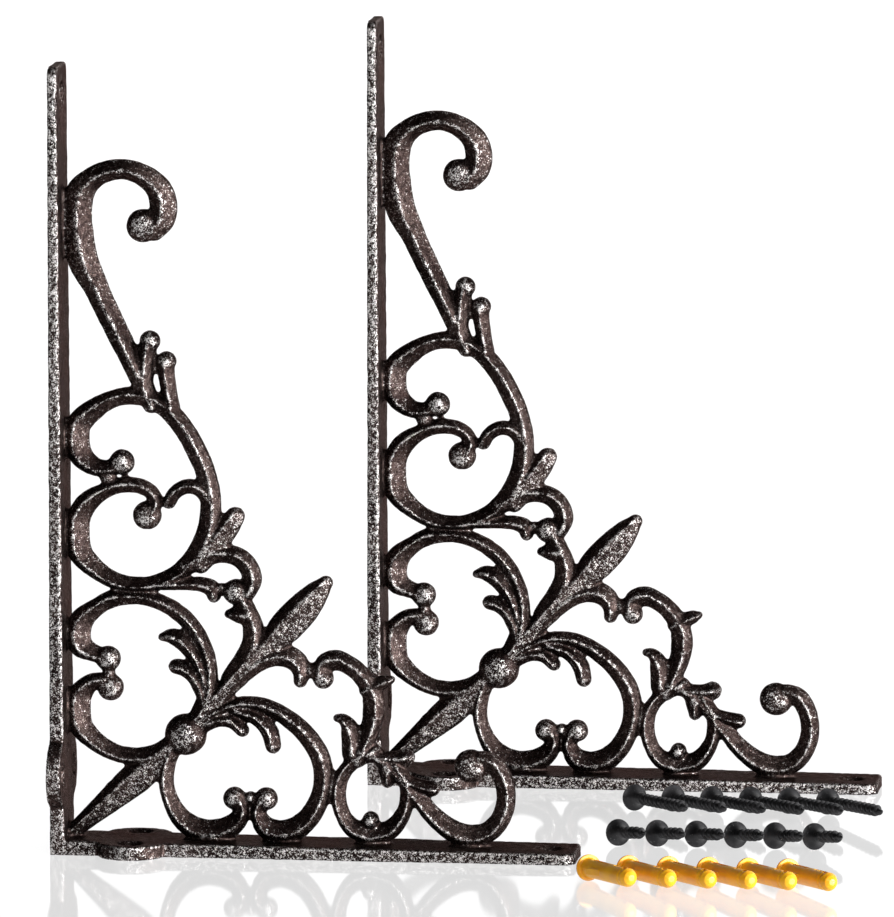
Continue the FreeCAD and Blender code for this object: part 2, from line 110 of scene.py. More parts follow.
# Scrolls: (X, Z, width) along the middle of each. Their crest runs nearer the outside of the bend.
SCROLLS = {
    "corner_scroll": [
        (37, 35, 5), (33.6, 31.9, 5), (28.6, 29.8, 5.1), (23, 29.3, 5.3), (17.4, 30.7, 5.5), (12.4, 33.8, 6),
        (8.4, 38, 7.2), (7.3, 43, 7.8), (8, 48, 7.5), (11.6, 51.6, 5.6), (15.4, 52.2, 4.8),
    ],
    "wall_scroll": [
        (15, 59.8, 4.8), (11.8, 60.8, 5.4), (8.4, 62.8, 7.4), (7.3, 66.6, 8), (8.6, 70.7, 7.4),
        (12.9, 74.6, 5.6), (17.4, 77.2, 5.5), (23.4, 78, 4.8), (29.5, 77.4, 4.8), (35.5, 75, 5),
        (40.5, 71.2, 5.1), (44, 66.4, 5.2), (46.3, 61, 5.3), (47.3, 55, 5.4), (46.9, 49, 5.6),
        (43.5, 41, 5.6),
    ],
    "shelf_scroll": [
        (38.5, 35, 4), (35.2, 28, 4.5), (34.2, 21.8, 4.7), (35.6, 15.8, 5), (39.2, 10.1, 6.5),
        (44.3, 7.1, 7.2), (50, 6.9, 7.3), (54.8, 9, 6.8), (57.4, 13.2, 5), (56, 16.6, 4.6),
    ],
    "shelf_ring": [
        (42, 36.5, 4.2), (46.3, 40.7, 4.3), (50.8, 43.5, 4.5), (56, 45.4, 4.8), (61.8, 45.6, 5),
        (67.6, 43.8, 5.2), (73.5, 40, 5.5), (78.6, 34.6, 5.9), (81.5, 29, 6.2), (82.3, 23.4, 6.2),
        (81.2, 17.6, 6.2), (78, 11.6, 6.8), (73.8, 8, 7.4), (69, 6.9, 7.2), (64.8, 8.2, 6.8),
        (62.5, 12.4, 4.9), (63.8, 16.4, 4.6),
    ],
    "spear_left_leaf": [
        (53.8, 53.6, 5.8), (58.6, 60.3, 6.3), (60.7, 65, 6.4), (60.7, 70, 6.3), (59.1, 74.4, 5.4),
        (57, 78.4, 5.2),
    ],
    "side_curl": [
        (59.2, 80.4, 5.6), (60.5, 84, 6.2), (59.4, 87.8, 6.2), (56, 90.9, 6), (51.2, 91.6, 5.6),
        (46.5, 90.4, 5.4), (40.5, 87.6, 5.6),
    ],
    "heart_and_loop": [
        (30.2, 104.6, 4.4), (31.2, 107.2, 4.6), (29.8, 110, 4.7), (26, 112, 4.8), (20.5, 112, 4.9),
        (15, 110, 5.2), (10, 106.2, 6.9), (7.5, 101.4, 7.6), (7.2, 96, 7.9), (8.5, 90.8, 7.4),
        (12.9, 86.4, 6), (18.5, 83.1, 5.2), (24.5, 82, 4.8), (30.5, 82.5, 4.8), (36.5, 84.8, 5.4),
        (41.2, 88.6, 6.2), (44.9, 93.5, 6.8), (47.3, 99.5, 6.8), (48, 105.5, 6.6), (47.6, 111, 6.5),
        (46.3, 116.8, 6.4), (44, 122.2, 6.3), (41, 127.8, 6.2), (37.2, 133, 6), (32.8, 137, 5.8),
        (27.5, 139.2, 5.6), (22, 139.4, 5.5), (16.8, 137.8, 5.7), (11.2, 134.2, 7.1), (7.7, 130.4, 7.8),
        (7.1, 125.8, 7.9), (8.5, 121.1, 7.3), (13.2, 117.6, 5.4), (18, 117.6, 4.6),
    ],
    "heart_leaf": [
        (47.6, 107.6, 4.6), (44.6, 111.4, 4.8), (40.6, 112, 4.6), (37.2, 110.2, 4.4), (35.3, 107.2, 4.4),
    ],
    "stem_and_hook": [
        (30, 137, 5.4), (28, 142, 6.4), (24.8, 148.8, 6.8), (20.7, 157, 7), (16.9, 164.8, 7.2),
        (13.3, 172.5, 7.7), (9.6, 180, 9.3), (7.9, 188, 9.6), (7.5, 195.5, 9.4), (8.7, 201.5, 9),
        (12.3, 205.5, 7.3), (17.2, 207.9, 6.4), (22.6, 208.3, 6.2), (28, 206.4, 6.8), (31.9, 203.2, 7.8),
        (33.7, 198.6, 8.6), (33.3, 193.8, 8.4), (30.8, 190.4, 7.4),
    ],
    "tip_side_curl": [
        (81.8, 55.6, 5.6), (82.8, 58.4, 6.4), (86, 59.7, 6.5), (90.2, 58.2, 5.9), (94.4, 54.6, 6),
        (96.9, 50.6, 6.6), (97.7, 46.4, 6.9), (97.3, 41.6, 6.6), (95.7, 36.6, 6), (92.6, 29.6, 5.6),
    ],
    "small_ring_left": [
        (98, 31.8, 5), (91.4, 28.6, 4.8), (87.9, 24, 4.8), (86.9, 18.8, 4.8), (88, 13.2, 4.8), (91, 8.8, 5.8),
        (95.6, 6.9, 7),
    ],
    "small_ring_right": [
        (104.6, 27.2, 4.2), (107.3, 23, 4.6), (107.9, 18.6, 4.7), (106.6, 13.2, 4.8), (102.6, 8.2, 6.2),
        (96.5, 6.4, 6.4),
    ],
    "tip_scroll": [
        (94, 32.6, 5), (101, 29.4, 5), (106.3, 24.4, 5), (111, 18.6, 5.2), (116.1, 12.6, 6),
        (121.4, 8.5, 6.8), (127.3, 6.7, 7.3), (132.7, 8.2, 6.4), (136.5, 12.6, 6), (138, 18, 5.9),
        (137.3, 23.6, 5.8), (134.2, 28.8, 6), (130.5, 30.2, 5.4),
    ],
}

# Leaves, stems and thorns: (X, Z, width), with the crest along their middle.
LEAVES = {
    "brace": [
        (3, 3.5, 4), (12, 11.3, 6.5), (20, 18.3, 9), (25.5, 23, 10), (30.5, 27.6, 8.8), (37, 33.4, 6.6),
    ],
    "wall_scroll_long_leaf": [
        (46.5, 51.5, 4), (45.2, 56, 5), (42.8, 61, 5.6), (39, 65, 6), (35.4, 66.2, 4.6), (33.2, 65.9, 2.8),
    ],
    "wall_scroll_short_leaf": [
        (46.3, 45, 4), (44.8, 50.5, 4.8), (42.2, 54.8, 5), (39.3, 56.6, 5), (37.3, 57, 4.8),
    ],
    "shelf_ring_short_leaf": [
        (43, 36.6, 4), (46.6, 39.4, 4.4), (50.5, 41, 4.8), (54.8, 40.4, 4.8), (57.5, 37.8, 4.4),
    ],
    "shelf_ring_long_leaf": [(56, 43.9, 4.6), (62, 41.8, 5.2), (65.8, 37.6, 5.4), (66.9, 33.2, 5)],
    "spear_stem": [
        (41, 37, 5.4), (45, 41.8, 5.8), (50, 47.5, 6), (55, 53, 6.4), (59.5, 58.2, 7), (64, 63, 7.4),
    ],
    "spear": [
        (60, 57.8, 5), (66, 64.5, 7.6), (70, 68.8, 10), (73, 72, 10.6), (77, 76.4, 9.8), (80.8, 80.8, 7.2),
        (83, 83.4, 4.6),
    ],
    "spear_left_thorn": [(59.5, 73, 6), (56, 73.4, 5.6), (53.6, 73.4, 3)],
    "spear_right_leaf": [
        (55, 52, 5), (61, 57.4, 5.4), (65.8, 60.2, 6.2), (70.4, 60.8, 7), (74, 59.2, 6.8), (75.6, 56.2, 6),
        (75.3, 53.4, 4.6),
    ],
    "side_curl_leaf": [(32, 82, 3.6), (40, 82.4, 4), (45.4, 82.2, 4.6), (48.6, 80.8, 5.2), (49, 78.9, 4.4)],
    "heart_thorn": [(45, 88.5, 6), (49.8, 95, 7.4), (53.2, 99.8, 7.2), (55.4, 103.2, 6.2)],
    "left_sprout": [(28, 140.5, 5), (28.2, 146, 5.4), (28.4, 150.5, 5.6), (28.9, 154.5, 5.8)],
    "right_sprout": [(36.4, 136, 4.8), (35.4, 141, 5), (34.6, 146, 5.4), (34.3, 149.5, 5.6)],
    "tip_side_leaf": [(91.4, 31, 7), (90.8, 36.6, 6.4), (89.8, 40, 5.2), (88, 41.9, 3.4), (86.6, 42.1, 2.6)],
    "tip_side_thorn": [(95.5, 51, 5), (99, 52.6, 5), (101.8, 53.8, 4), (103, 54.2, 2.6)],
    "small_ring_leaf": [(98.4, 31, 4), (101, 28.2, 5), (101.9, 25, 5.2), (101.9, 23, 4.2)],
    "tip_scroll_thorn": [(107.4, 23.4, 3), (112, 21.8, 4.4), (115.6, 21, 4.8)],
    "tip_scroll_leaf": [(97, 30.6, 4.4), (102.5, 30.3, 4), (105.4, 30.2, 5), (107.3, 30.4, 6.2)],
}

# Round ends: X, Z, radius, crest height from the middle plane.
BALLS = [
    (17.2, 50.2, 4.1, 4.0), (16.5, 59.0, 3.9, 4.0), (55.1, 16.9, 3.6, 4.0), (64.8, 16.9, 3.6, 4.0),
    (55.6, 80.2, 4.0, 4.0), (28.6, 103.2, 4.5, 4.0), (16.6, 114.7, 2.6, 2.6), (20.9, 119.2, 3.9, 4.0),
    (27.6, 191.4, 5.2, 4.0), (29.6, 156.4, 3.2, 3.6), (34.6, 150.2, 3.1, 3.6), (82.3, 54.2, 3.3, 4.0),
    (96.7, 11.0, 2.7, 4.0), (127.3, 28.1, 5.2, 4.0), (60.0, 17.2, 2.0, 2.6), (16.8, 54.7, 1.9, 2.6),
    (51.4, 81.4, 1.5, 2.4), (78.9, 56.6, 2.4, 2.8),
    (40.2, 36.2, 6.4, 6.0),
]

# The camera: degrees, millimetres of lens, metres away, and its aim (X, Z) from the front bracket's corner.
CAMERA_TURN = 7.0
CAMERA_RISE = 8.0
CAMERA_LENS = 534.0
CAMERA_DISTANCE = 4.0
CAMERA_AIM = (120.0, 122.0)

# How finely the skins are made.
VOXEL = 0.5
PLUG_VOXEL = 0.16
STEP = 0.7
TRIANGLES = 185000
SHARP_ANGLE = math.radians(38)


# ---------------------------------------------------------------------------
# Geometry helpers
# ---------------------------------------------------------------------------


class Shape:
    """Vertices and faces gathered from several closed pieces."""

    def __init__(self):
        self.verts = []
        self.faces = []

    def add(self, verts, faces):
        start = len(self.verts)
        self.verts += [tuple(v) for v in verts]
        self.faces += [tuple(start + i for i in face) for face in faces]

    def mesh(self, name):
        mesh = bpy.data.meshes.new(name)
        mesh.from_pydata(self.verts, [], self.faces)
        mesh.update()
        return mesh


def new_object(name, mesh):
    obj = bpy.data.objects.new(name, mesh)
    bpy.context.scene.collection.objects.link(obj)
    return obj


def applied(obj, name):
    """The object's mesh with its modifiers in it. The object goes."""
    bpy.context.view_layer.update()
    graph = bpy.context.evaluated_depsgraph_get()
    mesh = bpy.data.meshes.new_from_object(obj.evaluated_get(graph))
    mesh.name = name
    bpy.data.objects.remove(obj)
    return mesh


def through(points, step):
    """Points about a step apart on a smooth curve through the given ones (centripetal Catmull-Rom)."""
    p = np.array(points, float)
    p = np.vstack([2 * p[0] - p[1], p, 2 * p[-1] - p[-2]])
    out = []
    for i in range(1, len(p) - 2):
        a, b, c, d = p[i - 1 : i + 3]
        knots = [0.0]
        for start, end in ((a, b), (b, c), (c, d)):
            knots.append(knots[-1] + math.hypot(*(end - start)[:2]) ** 0.5)
        t0, t1, t2, t3 = knots
        count = max(2, int(math.hypot(*(c - b)[:2]) / step))
        for t in np.linspace(t1, t2, count, endpoint=False):
            ab = (t1 - t) / (t1 - t0) * a + (t - t0) / (t1 - t0) * b
            bc = (t2 - t) / (t2 - t1) * b + (t - t1) / (t2 - t1) * c
            cd = (t3 - t) / (t3 - t2) * c + (t - t2) / (t3 - t2) * d
            abc = (t2 - t) / (t2 - t0) * ab + (t - t0) / (t2 - t0) * bc
            bcd = (t3 - t) / (t3 - t1) * bc + (t - t1) / (t3 - t1) * cd
            out.append((t2 - t) / (t2 - t1) * abc + (t - t1) / (t2 - t1) * bcd)
    out.append(p[-2])
    return np.array(out)


def section(crest_at, crest, side_a, side_b):
    """A strand's section: (share of the width from the middle, height), once round."""
    upper = [
        (0.5, 0.0),
        (0.49, side_a * 0.85),
        (0.45, side_a),
        (crest_at + 0.08, crest * 0.97),
        (crest_at + 0.03, crest),
        (crest_at - 0.03, crest),
        (crest_at - 0.08, crest * 0.94),
        (-0.38, side_b + 0.1 * (crest - side_b)),
        (-0.47, side_b * 0.85),
        (-0.5, 0.0),
    ]
    return upper + [(n, -h) for n, h in upper[-2:0:-1]]


def end_station(point, away, along, share):
    """A station on a strand's rounded end, a share of the way out to its tip."""
    turn = share * math.pi / 2
    return point[:2] + away * point[2] / 2 * math.sin(turn), along, point[2], math.cos(turn)


def strand(shape, points, crest_at, crest=CREST, side_a=OUTER_EDGE, side_b=INNER_EDGE, outer=None):
    """A closed swept band along the points, with rounded ends.

    outer is the side that the crest leans to: 1 for the left of the way along, -1 for the right.
    Without it, the crest leans to the outside of the bend.
    """
    line = through(points, STEP)
    along = np.gradient(line[:, :2], axis=0)
    along /= np.linalg.norm(along, axis=1)[:, None]
    turn = np.cross(along[:-1], along[1:]).sum()
    if outer is None:
        outer = -1.0 if turn > 0 else 1.0
    stations = []
    for share in ROUND_END:
        stations.append(end_station(line[0], -along[0], along[0], share))
    for point, way in zip(line, along):
        stations.append((point[:2], way, point[2], 1.0))
    for share in ROUND_END[::-1]:
        stations.append(end_station(line[-1], along[-1], along[-1], share))
    verts = []
    ring = section(crest_at, crest, side_a, side_b)
    for (x, z), (dx, dz), width, scale in stations:
        nx, nz = -dz * outer, dx * outer
        low = min(1.0, width / FULL_HEIGHT_WIDTH)
        tall = max(scale, LOWEST_END) * low
        for n, h in ring:
            verts.append((x + nx * n * width * scale, h * tall, z + nz * n * width * scale))
    count = len(ring)
    faces = []
    for i in range(len(stations) - 1):
        for j in range(count):
            k = (j + 1) % count
            faces.append((i * count + j, i * count + k, (i + 1) * count + k, (i + 1) * count + j))
    last = (len(stations) - 1) * count
    faces.append(tuple(range(count))[::-1])
    faces.append(tuple(last + j for j in range(count)))
    shape.add(verts, faces)


def ball(shape, x, z, radius, height):
    """A domed round, a little flat on top."""
    rounds, rings = 28, 12
    verts = [(x, -height, z)]
    for i in range(1, rings):
        lift = -math.cos(math.pi * i / rings)
        out = math.sin(math.pi * i / rings) ** 0.75
        reach = radius * out
        for j in range(rounds):
            turn = 2 * math.pi * j / rounds
            verts.append((x + reach * math.cos(turn), height * lift, z + reach * math.sin(turn)))
    verts.append((x, height, z))
    faces = [(0, 1 + (j + 1) % rounds, 1 + j) for j in range(rounds)]
    for i in range(rings - 2):
        for j in range(rounds):
            a, b = 1 + i * rounds + j, 1 + i * rounds + (j + 1) % rounds
            faces.append((a, b, b + rounds, a + rounds))
    top = len(verts) - 1
    first = 1 + (rings - 2) * rounds
    faces += [(top, first + j, first + (j + 1) % rounds) for j in range(rounds)]
    shape.add(verts, faces)


def leg_thickness(from_corner, length, tip):
    start = CORNER_THICKNESS + CORNER_FILLET
    return CORNER_THICKNESS + (tip - CORNER_THICKNESS) * (from_corner - start) / (length - start)


def leg_outline(length):
    """A leg seen from above, lying along X, with its two ears and its rounded tip."""
    half = LEG_WIDTH / 2
    dip = math.asin((half - EAR_FROM_MIDDLE) / EAR_R)
    points = [(0.0, -half)]
    for turn in np.linspace(math.pi + dip, 2 * math.pi - dip, 25):
        points.append((EAR_FROM_CORNER + EAR_R * math.cos(turn), -EAR_FROM_MIDDLE + EAR_R * math.sin(turn)))
    r = TIP_CORNER_R
    for turn in np.linspace(-math.pi / 2, 0, 6):
        points.append((length - r * (1 - math.cos(turn)), -half + r * (1 + math.sin(turn))))
    return points + [(x, -y) for x, y in points[::-1]]


def cone(profile, x, y, rounds=32):
    """A closed turned cutter along Z at (x, y): (radius, height) pairs from the bottom up."""
    verts, faces = [], []
    for radius, height in profile:
        for j in range(rounds):
            turn = 2 * math.pi * j / rounds
            verts.append((x + radius * math.cos(turn), y + radius * math.sin(turn), height))
    for i in range(len(profile) - 1):
        for j in range(rounds):
            k = (j + 1) % rounds
            faces.append((i * rounds + j, i * rounds + k, (i + 1) * rounds + k, (i + 1) * rounds + j))
    faces.append(tuple(range(rounds))[::-1])
    faces.append(tuple((len(profile) - 1) * rounds + j for j in range(rounds)))
    return verts, faces


def cut(solid, cutter, name):
    """One mesh with another taken out of it."""
    target = new_object(name, solid)
    tool = new_object(name + "_tool", cutter)
    step = target.modifiers.new("cut", "BOOLEAN")
    step.operation = "DIFFERENCE"
    step.solver = "EXACT"
    step.object = tool
    mesh = applied(target, name)
    bpy.data.objects.remove(tool)
    return mesh


def leg(length, tip):
    """One leg lying along X on its outer face, with its screw holes, in millimetres."""
    body = Shape()
    outline = leg_outline(length)
    count = len(outline)
    verts = [(x, y, 0.0) for x, y in outline]
    verts += [(x, y, leg_thickness(x, length, tip)) for x, y in outline]
    faces = [tuple(range(count))[::-1], tuple(range(count, 2 * count))]
    faces += [(j, (j + 1) % count, count + (j + 1) % count, count + j) for j in range(count)]
    body.add(verts, faces)
    holes = Shape()
    sink = (SINK_D - HOLE_D) / 2
    ears = [(EAR_FROM_CORNER, side * EAR_HOLE_FROM_MIDDLE) for side in (-1, 1)]
    for x, y in ears + [(length - TIP_HOLE_FROM_END, 0.0)]:
        face = leg_thickness(x, length, tip)
        profile = [
            (HOLE_D / 2, -CLEAR), (HOLE_D / 2, face - sink),
            (SINK_D / 2, face), (SINK_D / 2 + CLEAR, face + CLEAR),
        ]
        holes.add(*cone(profile, x, y))
    return cut(body.mesh("leg"), holes.mesh("holes"), "leg")


def add_mesh(shape, mesh, place):
    """Adds a mesh's faces, with each vertex put where place says. The mesh goes."""
    verts = [place(*v.co) for v in mesh.vertices]
    faces = [tuple(p.vertices) for p in mesh.polygons]
    shape.add(verts, faces)
    bpy.data.meshes.remove(mesh)


def casting_shape():
    """The whole bracket as overlapping closed pieces, in millimetres from its corner."""
    shape = Shape()
    for name, points in SCROLLS.items():
        strand(shape, points, STEM_CREST_TO_OUTER if name == "stem_and_hook" else CREST_TO_OUTER)
    for name, points in LEAVES.items():
        if name in FLAT_LEAVES:
            steep, gentle = FLAT_LEAF_EDGES
            strand(shape, points, FLAT_LEAF_CREST, side_a=steep, side_b=gentle, outer=1.0)
        else:
            strand(shape, points, 0.0, side_a=LEAF_EDGE, side_b=LEAF_EDGE)
    for x, z, radius, height in BALLS:
        ball(shape, x, z, radius, height)
    add_mesh(shape, leg(SHELF_LEG, SHELF_TIP_THICKNESS), lambda x, y, z: (x, y, z))
    add_mesh(shape, leg(WALL_LEG, WALL_TIP_THICKNESS), lambda x, y, z: (z, -y, x))
    return shape


def lattice_noise(points, size, seed):
    """Smooth noise from -1 to 1 with features of the given size, the same on every run."""
    grid = np.random.default_rng(seed).uniform(-1, 1, (64, 64, 64))
    q = points / size
    base = np.floor(q).astype(int)
    f = q - base
    f = f * f * (3 - 2 * f)
    total = np.zeros(len(points))
    for dx in (0, 1):
        for dy in (0, 1):
            for dz in (0, 1):
                weight = (
                    np.where(dx, f[:, 0], 1 - f[:, 0])
                    * np.where(dy, f[:, 1], 1 - f[:, 1])
                    * np.where(dz, f[:, 2], 1 - f[:, 2])
                )
                total += weight * grid[(base[:, 0] + dx) % 64, (base[:, 1] + dy) % 64, (base[:, 2] + dz) % 64]
    return total


def coordinates(mesh):
    co = np.empty(len(mesh.vertices) * 3)
    mesh.vertices.foreach_get("co", co)
    return co.reshape(-1, 3)


def normals(mesh):
    n = np.empty(len(mesh.vertices) * 3)
    mesh.vertices.foreach_get("normal", n)
    return n.reshape(-1, 3)


def relaxed(co, edges, rounds):
    """Each vertex moved to the middle of its neighbours, a number of times."""
    a, b = edges[:, 0], edges[:, 1]
    count = np.bincount(a, minlength=len(co)) + np.bincount(b, minlength=len(co))
    count = np.maximum(count, 1)[:, None]
    for _ in range(rounds):
        total = np.stack(
            [np.bincount(a, co[b, i], len(co)) + np.bincount(b, co[a, i], len(co)) for i in range(3)], axis=1
        )
        co = 0.5 * co + 0.5 * total / count
    return co


def edges_of(mesh):
    pairs = np.empty(len(mesh.edges) * 2, dtype=np.int32)
    mesh.edges.foreach_get("vertices", pairs)
    return pairs.reshape(-1, 2)


def float_attribute(mesh, name, values):
    layer = mesh.attributes.new(name, "FLOAT", "POINT")
    layer.data.foreach_set("value", np.asarray(values, dtype=np.float32))


def casting_mesh(low, high, corner):
    """The bracket as one skin, with a sand-cast surface, inside the box low to high, in metres."""
    shape = casting_shape()
    obj = new_object("casting", shape.mesh("casting"))
    step = obj.modifiers.new("skin", "REMESH")
    step.mode = "VOXEL"
    step.voxel_size = VOXEL
    step.use_smooth_shade = True
    smooth = obj.modifiers.new("soften", "SMOOTH")
    smooth.factor = 0.5
    smooth.iterations = 1
    mesh = applied(obj, "casting")
    co = coordinates(mesh)
    edges = edges_of(mesh)
    out = normals(mesh)
    rough = (
        0.08 * lattice_noise(co, 9.0, 11)
        + 0.07 * lattice_noise(co, 2.6, 12)
        + 0.07 * lattice_noise(co, 1.15, 13)
    )
    co = co + out * (rough - 0.05)[:, None]
    base = relaxed(co, edges, 18)
    rub = ((co - base) * out).sum(axis=1)
    mesh.vertices.foreach_set("co", co.ravel())
    float_attribute(mesh, "rub", rub)
    float_attribute(mesh, "flank", np.abs(relaxed(out, edges, 2)[:, 1]))
    mesh.update()
    obj = new_object("casting", mesh)
    thin = obj.modifiers.new("thin", "DECIMATE")
    thin.ratio = min(1.0, TRIANGLES / (2 * len(mesh.polygons)))
    mesh = applied(obj, "casting")
    co = coordinates(mesh) * MM + corner
    co = np.clip(co, low, high)
    mesh.vertices.foreach_set("co", co.ravel())
    mesh.update()
    return mesh


def turned(shape, outline, rounds):
    """A closed solid of revolution about Z, from (radius, height) points that start and end on the axis."""
    start_height, end_height = outline[0][1], outline[-1][1]
    rings = outline[1:-1]
    verts = [(0.0, 0.0, start_height)]
    for radius, height in rings:
        for j in range(rounds):
            turn = 2 * math.pi * j / rounds
            verts.append((radius * math.cos(turn), radius * math.sin(turn), height))
    verts.append((0.0, 0.0, end_height))
    faces = [(0, 1 + (j + 1) % rounds, 1 + j) for j in range(rounds)]
    for i in range(len(rings) - 1):
        for j in range(rounds):
            a, b = 1 + i * rounds + j, 1 + i * rounds + (j + 1) % rounds
            faces.append((a, b, b + rounds, a + rounds))
    last = 1 + (len(rings) - 1) * rounds
    faces += [(len(verts) - 1, last + j, last + (j + 1) % rounds) for j in range(rounds)]
    shape.add(verts, faces)


def loft(shape, outlines):
    """A closed solid through outlines of equal length, each a list of 3-D points."""
    count = len(outlines[0])
    verts = [point for outline in outlines for point in outline]
    faces = [tuple(range(count))[::-1]]
    for i in range(len(outlines) - 1):
        for j in range(count):
            k = (j + 1) % count
            faces.append((i * count + j, i * count + k, (i + 1) * count + k, (i + 1) * count + j))
    faces.append(tuple((len(outlines) - 1) * count + j for j in range(count)))
    shape.add(verts, faces)


def thread(shape, length):
    """The helical ridge of a screw that points down -Z. It runs out on the point and under the head."""
    steps = 40
    bottom, top = -length + 0.6, -FLARE - 0.3
    turns = (top - bottom) / THREAD_PITCH
    outlines = []
    for i in range(int(turns * steps) + 1):
        height = bottom + THREAD_PITCH * i / steps
        turn = 2 * math.pi * i / steps
        share = min(1.0, (height + length) / POINT)
        core = CORE_R * share
        fade = min(1.0, (height - bottom) / 1.5 + 0.02, (top - height) / 1.5 + 0.02)
        crest = core + (THREAD_R - CORE_R) * fade * min(1.0, 0.45 + share)
        flank = 0.2 + 0.42 * fade
        shoulder = THREAD_CREST / 2 + 0.05
        ridge = [
            (core * 0.6, -flank), (core, -flank), (crest - 0.06, -shoulder), (crest, -THREAD_CREST / 4),
            (crest, THREAD_CREST / 4), (crest - 0.06, shoulder), (core, flank), (core * 0.6, flank),
        ]
        outlines.append([(r * math.cos(turn), r * math.sin(turn), height + z) for r, z in ridge])
    loft(shape, outlines)


def cross(half_span, half_width, height):
    """A plus-shaped outline with its inside corners a little filled, once round."""
    fill = half_width * 1.35
    quarter = [(half_span, -half_width), (half_span * 1.04, 0.0), (half_span, half_width), (fill, fill)]
    points = []
    for step in range(4):
        c, s = math.cos(math.pi / 2 * step), math.sin(math.pi / 2 * step)
        for x, y in quarter:
            points.append((x * c - y * s, x * s + y * c, height))
    return points


def screw_mesh(length, name):
    """A bugle-head drywall screw that points down -Z, with its cross recess and its helical thread."""
    bugle = [
        (HEAD_R, -HEAD_RIM, 1), (3.35, -1.0, 1), (2.75, -1.6, 1), (2.2, -2.4, 1), (1.8, -3.3, 1),
        (SHANK_R, -FLARE, 1),
    ]
    profile = [(0.0, 0.0), (2.0, 0.0), (3.6, 0.0), (3.9, -0.04), (4.05, -0.14), (HEAD_R, -0.28)]
    profile += [(radius, height) for radius, height, _ in through(bugle, 0.25)]
    profile += [(1.45, -FLARE - 0.3), (CORE_R, -FLARE - 0.7), (CORE_R, -length + POINT)]
    profile += [(CORE_R * share, -length + POINT * share) for share in (0.6, 0.25, 0.0)]
    body = Shape()
    turned(body, profile[::-1], 48)
    recess = Shape()
    levels = ((0.3, 0.16, -2.7), (0.85, 0.34, -2.3), (2.3, 0.56, 0.05), (2.4, 0.6, 0.6))
    loft(recess, [cross(*level) for level in levels])
    headed = cut(body.mesh(name), recess.mesh("recess"), name)
    shape = Shape()
    add_mesh(shape, headed, lambda x, y, z: (x * MM, y * MM, z * MM))
    ridge = Shape()
    thread(ridge, length)
    add_mesh(shape, ridge.mesh("thread"), lambda x, y, z: (x * MM, y * MM, z * MM))
    mesh = shape.mesh(name)
    mesh.set_sharp_from_angle(angle=SHARP_ANGLE)
    return mesh


def block(shape, low, high):
    (x0, y0, z0), (x1, y1, z1) = low, high
    loft(shape, [[(x0, y0, z), (x1, y0, z), (x1, y1, z), (x0, y1, z)] for z in (z0, z1)])


def plug_mesh(name):
    """A nylon wall plug that points down -Z: bored, split by two slots, with two arrow-like barbs."""
    tip = -PLUG_LENGTH
    body = Shape()
    turned(body, [
        (0.0, tip), (1.0, tip), (1.45, tip + 0.27), (2.08, tip + 0.72), (2.4, tip + 1.4),
        (PLUG_R, tip + PLUG_DOME), (PLUG_R, -27.0), (PLUG_NECK_R, -26.6), (PLUG_NECK_R, -25.8),
        (PLUG_R, -25.4), (PLUG_R, -PLUG_FLANGE_T - 0.3), (PLUG_R + 0.25, -PLUG_FLANGE_T),
        (PLUG_FLANGE_R, -PLUG_FLANGE_T), (PLUG_FLANGE_R, 0.0), (PLUG_BORE_R + 0.3, 0.0),
        (PLUG_BORE_R, -0.5), (PLUG_BORE_R, -25.0), (0.6, -26.6), (0.0, -27.0),
    ], 64)
    slots = Shape()
    past, half_slot = PLUG_R + 1, 0.55
    for low, high in ((-14.2, -3.6), (-27.2, -19.0)):
        block(slots, (-past, -half_slot, low), (past, half_slot, high))
    slotted = cut(body.mesh(name), slots.mesh("slots"), name)
    shape = Shape()
    add_mesh(shape, slotted, lambda x, y, z: (x, y, z))
    for side in (-1, 1):
        near, far = sorted((1.7 * side, 2.7 * side))
        for low in (-23.6, -21.4):
            block(shape, (near, -0.8, low), (far, 0.8, low + 0.9))
        root, reach = side * (PLUG_R - 0.5), side * PLUG_WING_SPAN / 2
        inner, outer = -13.2, -7.3
        wing = [
            (root, inner), (side * (PLUG_R + 0.15), inner), (reach, outer),
            (reach - side * 0.35, outer - 0.3), (root, outer - 1.5),
        ]
        loft(shape, [[(x, y, z) for y, z in wing] for x in (-1.0, 1.0)])
    obj = new_object(name, shape.mesh(name))
    step = obj.modifiers.new("skin", "REMESH")
    step.mode = "VOXEL"
    step.voxel_size = PLUG_VOXEL
    step.use_smooth_shade = True
    smooth = obj.modifiers.new("soften", "SMOOTH")
    smooth.factor = 0.5
    smooth.iterations = 2
    thin = obj.modifiers.new("thin", "DECIMATE")
    thin.ratio = 0.3
    mesh = applied(obj, name)
    mesh.vertices.foreach_set("co", (coordinates(mesh) * MM).ravel())
    mesh.update()
    return mesh


# ---------------------------------------------------------------------------
# Materials
# ---------------------------------------------------------------------------


